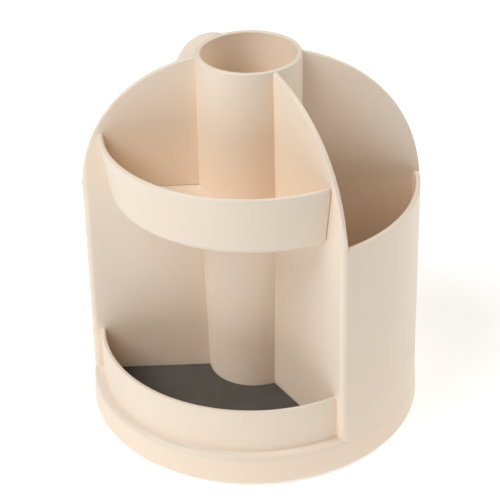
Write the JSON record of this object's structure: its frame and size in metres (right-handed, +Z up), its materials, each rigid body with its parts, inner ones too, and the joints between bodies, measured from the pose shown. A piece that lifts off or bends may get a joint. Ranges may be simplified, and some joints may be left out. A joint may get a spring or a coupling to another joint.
{
  "type": "rotating pen holder",
  "caption": "Round desktop organizer that turns on a hidden ball bearing, with a central pen tube, arched dividers, deep side bins and two-tier trays.",
  "frame": {"origin": "centre of the base on the plane that the feet stand on, on the turning axis", "axes": "+Z up along the turning axis, -Y towards the middle of the front two-tier sector, +X towards the middle of the right bin"},
  "size_m": [0.15, 0.15, 0.171],
  "materials": {
    "shell_plastic": "satin",
    "floor_mat": "matte",
    "turntable_plastic": "satin",
    "cage_plastic": "satin",
    "steel": "polished",
    "foot_rubber": "matte"
  },
  "bodies": {
    "standing_base": {"base_disc": "turntable_plastic", "pivot_bush": "cage_plastic", "anti_slip_foot_1": "foot_rubber", "anti_slip_foot_2": "foot_rubber", "anti_slip_foot_3": "foot_rubber", "anti_slip_foot_4": "foot_rubber", "anti_slip_foot_5": "foot_rubber", "anti_slip_foot_6": "foot_rubber"},
    "bearing": {"ball_cage": "cage_plastic", "bearing_ball_1": "steel", "bearing_ball_2": "steel", "bearing_ball_3": "steel", "bearing_ball_4": "steel", "bearing_ball_5": "steel", "bearing_ball_6": "steel", "bearing_ball_7": "steel", "bearing_ball_8": "steel", "bearing_ball_9": "steel", "bearing_ball_10": "steel", "bearing_ball_11": "steel", "bearing_ball_12": "steel"},
    "organizer": {"organizer_body": "shell_plastic", "front_upper_tray": "shell_plastic", "rear_upper_tray": "shell_plastic", "front_tier_mat": "floor_mat", "rear_tier_mat": "floor_mat", "right_bin_mat": "floor_mat", "left_bin_mat": "floor_mat", "pen_tube_mat": "floor_mat", "turntable_plate": "turntable_plastic", "plate_screw_1": "steel", "plate_screw_2": "steel", "plate_screw_3": "steel", "plate_screw_4": "steel", "pivot_screw": "steel", "pivot_washer": "steel"}
  },
  "joints": [
    {"name": "organizer_spin", "type": "hinge", "parent": "standing_base", "child": "organizer", "pos_m": [0, 0, 0.0055], "axis": [0, 0, 1], "continuous": true},
    {"name": "cage_spin", "type": "hinge", "parent": "standing_base", "child": "bearing", "pos_m": [0, 0, 0.0055], "axis": [0, 0, 1], "continuous": true}
  ],
  "couplings": [
    {"joint": "cage_spin", "follows": "organizer_spin", "ratio": 0.5}
  ]
}
